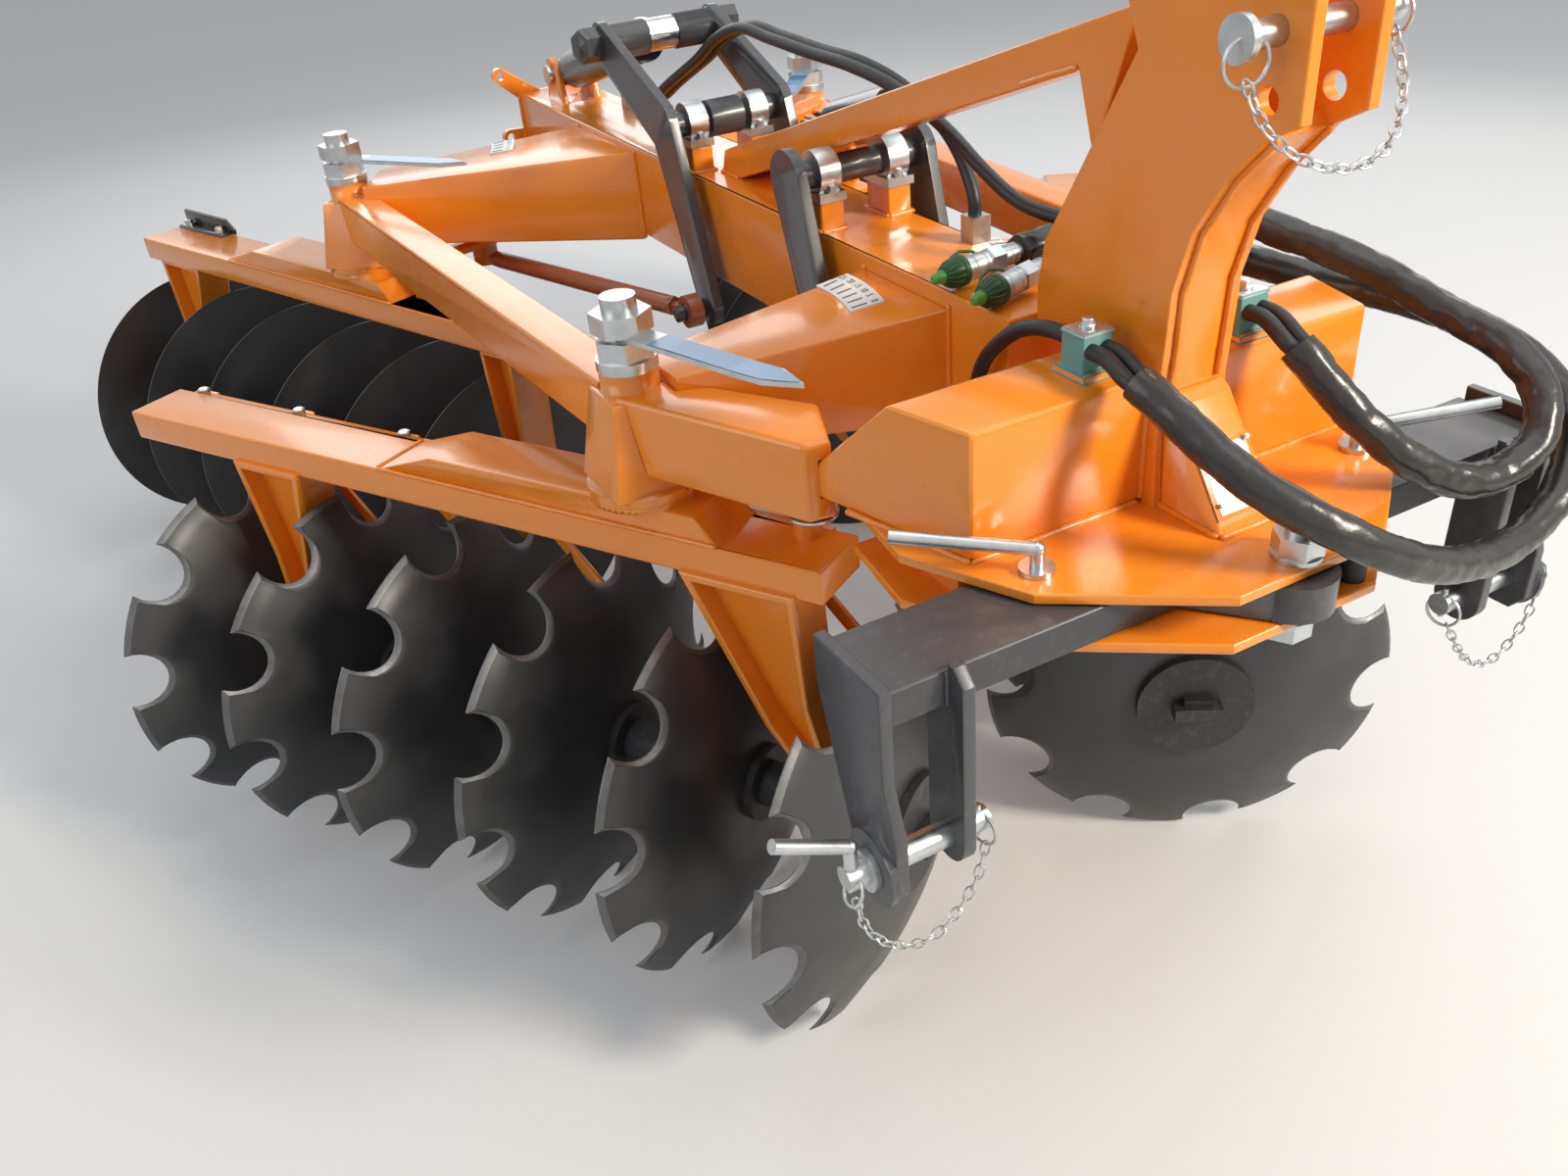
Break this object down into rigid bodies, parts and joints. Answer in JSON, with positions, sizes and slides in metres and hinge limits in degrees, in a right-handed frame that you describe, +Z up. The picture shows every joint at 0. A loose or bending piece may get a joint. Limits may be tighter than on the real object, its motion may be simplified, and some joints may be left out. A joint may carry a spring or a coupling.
{
  "type": "folding disc harrow",
  "caption": "Mounted tillage implement: box beam frame with a three-point headstock and four gangs of concave blades that pivot out from folded to working angle.",
  "frame": {"origin": "on the floor under the middle of the machine's bounding box", "axes": "+Z up; +Y along the main beam from the headstock to the rear plate; +X towards the machine's left side, seen facing forward"},
  "size_m": [2.3096, 2.8382, 1.345],
  "materials": {
    "frame_orange": "gloss",
    "dark_grey": "satin",
    "zinc": "bright zinc",
    "rod_chrome": "polished",
    "cylinder_black": "satin",
    "scale_white": "matt",
    "black_rubber": "matt",
    "tie_orange": "satin",
    "blade_black": "satin",
    "axle_black": "satin",
    "cap_green": "matt",
    "sleeve_black": "matt"
  },
  "bodies": {
    "frame": {"main_beam": "frame_orange", "rear_plate": "frame_orange", "arms": "frame_orange", "side_tubes": "frame_orange", "turrets": "frame_orange", "cross_body": "frame_orange", "upper_plate": "frame_orange", "lower_plate": "frame_orange", "mast": "frame_orange", "mast_brace": "frame_orange", "rocker_bearings": "zinc", "crossbar": "dark_grey", "link_plates": "dark_grey", "link_pins": "zinc", "frame_pins": "zinc", "scale_plates": "scale_white", "hose_clamps": "zinc", "bumper": "black_rubber", "hose_couplers": "cap_green", "hose_fittings": "zinc", "outer_sleeve": "sleeve_black", "inner_sleeve": "sleeve_black", "rear_hose_1": "sleeve_black", "rear_hose_2": "sleeve_black", "feed_hose": "sleeve_black"},
    "front_rocker": {"front_rocker": "dark_grey"},
    "rear_rocker": {"rear_rocker": "dark_grey"},
    "front_barrel": {"front_barrel": "cylinder_black"},
    "front_rod": {"front_rod": "rod_chrome"},
    "rear_barrel": {"rear_barrel": "cylinder_black"},
    "rear_rod": {"rear_rod": "rod_chrome"},
    "front_gang_right": {"front_gang_right": "frame_orange", "front_pivot_right": "zinc"},
    "front_discs_right": {"front_discs_right": "blade_black", "front_axle_right": "axle_black"},
    "front_tie_right": {"front_tie_right": "tie_orange"},
    "front_gang_left": {"front_gang_left": "frame_orange", "front_pivot_left": "zinc"},
    "front_discs_left": {"front_discs_left": "blade_black", "front_axle_left": "axle_black"},
    "front_tie_left": {"front_tie_left": "tie_orange"},
    "rear_gang_right": {"rear_gang_right": "frame_orange", "rear_pivot_right": "zinc"},
    "rear_discs_right": {"rear_discs_right": "blade_black", "rear_axle_right": "axle_black"},
    "rear_tie_right": {"rear_tie_right": "tie_orange"},
    "rear_gang_left": {"rear_gang_left": "frame_orange", "rear_pivot_left": "zinc"},
    "rear_discs_left": {"rear_discs_left": "blade_black", "rear_axle_left": "axle_black"},
    "rear_tie_left": {"rear_tie_left": "tie_orange"}
  },
  "joints": [
    {"name": "front_fold", "type": "hinge", "parent": "frame", "child": "front_rocker", "pos_m": [0, -0.523, 1.04], "axis": [1, 0, 0], "range_deg": [0, 68.67]},
    {"name": "rear_fold", "type": "hinge", "parent": "frame", "child": "rear_rocker", "pos_m": [0, -0.102, 1.04], "axis": [1, 0, 0], "range_deg": [0, 43.58]},
    {"name": "front_swing_right", "type": "hinge", "parent": "frame", "child": "front_gang_right", "pos_m": [-0.43, -0.68, 0.85], "axis": [0, 0, 1], "range_deg": [0, 83.5]},
    {"name": "front_tie_right_ball", "type": "hinge", "parent": "front_rocker", "child": "front_tie_right", "pos_m": [-0.14, -0.60798, 0.77846], "axis": [0.9596, -0.2192, -0.1762], "range_deg": [-48.73, 0]},
    {"name": "front_discs_right_spin", "type": "hinge", "parent": "front_gang_right", "child": "front_discs_right", "pos_m": [-0.44705, -0.69045, 0.3], "axis": [-0.5225, 0.8526, 0], "continuous": true},
    {"name": "front_swing_left", "type": "hinge", "parent": "frame", "child": "front_gang_left", "pos_m": [0.43, -0.68, 0.85], "axis": [0, 0, -1], "range_deg": [0, 83.5]},
    {"name": "front_tie_left_ball", "type": "hinge", "parent": "front_rocker", "child": "front_tie_left", "pos_m": [0.14, -0.60798, 0.77846], "axis": [0.9596, 0.2192, 0.1762], "range_deg": [-48.73, 0]},
    {"name": "front_discs_left_spin", "type": "hinge", "parent": "front_gang_left", "child": "front_discs_left", "pos_m": [0.44705, -0.69045, 0.3], "axis": [0.5225, 0.8526, 0], "continuous": true},
    {"name": "rear_swing_right", "type": "hinge", "parent": "frame", "child": "rear_gang_right", "pos_m": [-0.512, 0.544, 0.85], "axis": [0, 0, 1], "range_deg": [0, 54]},
    {"name": "rear_tie_right_ball", "type": "hinge", "parent": "rear_rocker", "child": "rear_tie_right", "pos_m": [-0.14, -0.20828, 0.77018], "axis": [0.9998, -0.0079, -0.0168], "range_deg": [-43.7, 0]},
    {"name": "rear_discs_right_spin", "type": "hinge", "parent": "rear_gang_right", "child": "rear_discs_right", "pos_m": [-0.53048, 0.53635, 0.3], "axis": [-0.3827, 0.9239, 0], "continuous": true},
    {"name": "rear_swing_left", "type": "hinge", "parent": "frame", "child": "rear_gang_left", "pos_m": [0.512, 0.544, 0.85], "axis": [0, 0, -1], "range_deg": [0, 54]},
    {"name": "rear_tie_left_ball", "type": "hinge", "parent": "rear_rocker", "child": "rear_tie_left", "pos_m": [0.14, -0.20828, 0.77018], "axis": [0.9998, 0.0079, 0.0168], "range_deg": [-43.7, 0]},
    {"name": "rear_discs_left_spin", "type": "hinge", "parent": "rear_gang_left", "child": "rear_discs_left", "pos_m": [0.53048, 0.53635, 0.3], "axis": [0.3827, 0.9239, 0], "continuous": true},
    {"name": "front_barrel_foot", "type": "hinge", "parent": "frame", "child": "front_barrel", "pos_m": [0.15, -0.19, 1.01], "axis": [1, 0, 0], "range_deg": [-1.68, 0]},
    {"name": "front_rod_slide", "type": "slide", "parent": "front_barrel", "child": "front_rod", "axis": [0, -0.9634, 0.268], "range_m": [0, 0.08996]},
    {"name": "rear_barrel_foot", "type": "hinge", "parent": "frame", "child": "rear_barrel", "pos_m": [0, 0.622, 1.018], "axis": [1, 0, 0], "range_deg": [-7.66, 0]},
    {"name": "rear_rod_slide", "type": "slide", "parent": "rear_barrel", "child": "rear_rod", "axis": [0, -0.97, 0.243], "range_m": [0, 0.16591]}
  ],
  "couplings": [
    {"joint": "front_swing_right", "follows": "front_fold", "ratio": 1.2159},
    {"joint": "front_tie_right_ball", "follows": "front_fold", "ratio": -0.70953},
    {"joint": "front_swing_left", "follows": "front_fold", "ratio": 1.2159},
    {"joint": "front_tie_left_ball", "follows": "front_fold", "ratio": -0.70953},
    {"joint": "rear_swing_right", "follows": "rear_fold", "ratio": 1.239},
    {"joint": "rear_tie_right_ball", "follows": "rear_fold", "ratio": -1.0026},
    {"joint": "rear_swing_left", "follows": "rear_fold", "ratio": 1.239},
    {"joint": "rear_tie_left_ball", "follows": "rear_fold", "ratio": -1.0026},
    {"joint": "front_barrel_foot", "follows": "front_fold", "ratio": -0.024489},
    {"joint": "front_rod_slide", "follows": "front_fold", "m_per_rad": 0.075041},
    {"joint": "rear_barrel_foot", "follows": "rear_fold", "ratio": -0.17561},
    {"joint": "rear_rod_slide", "follows": "rear_fold", "m_per_rad": 0.21809}
  ]
}
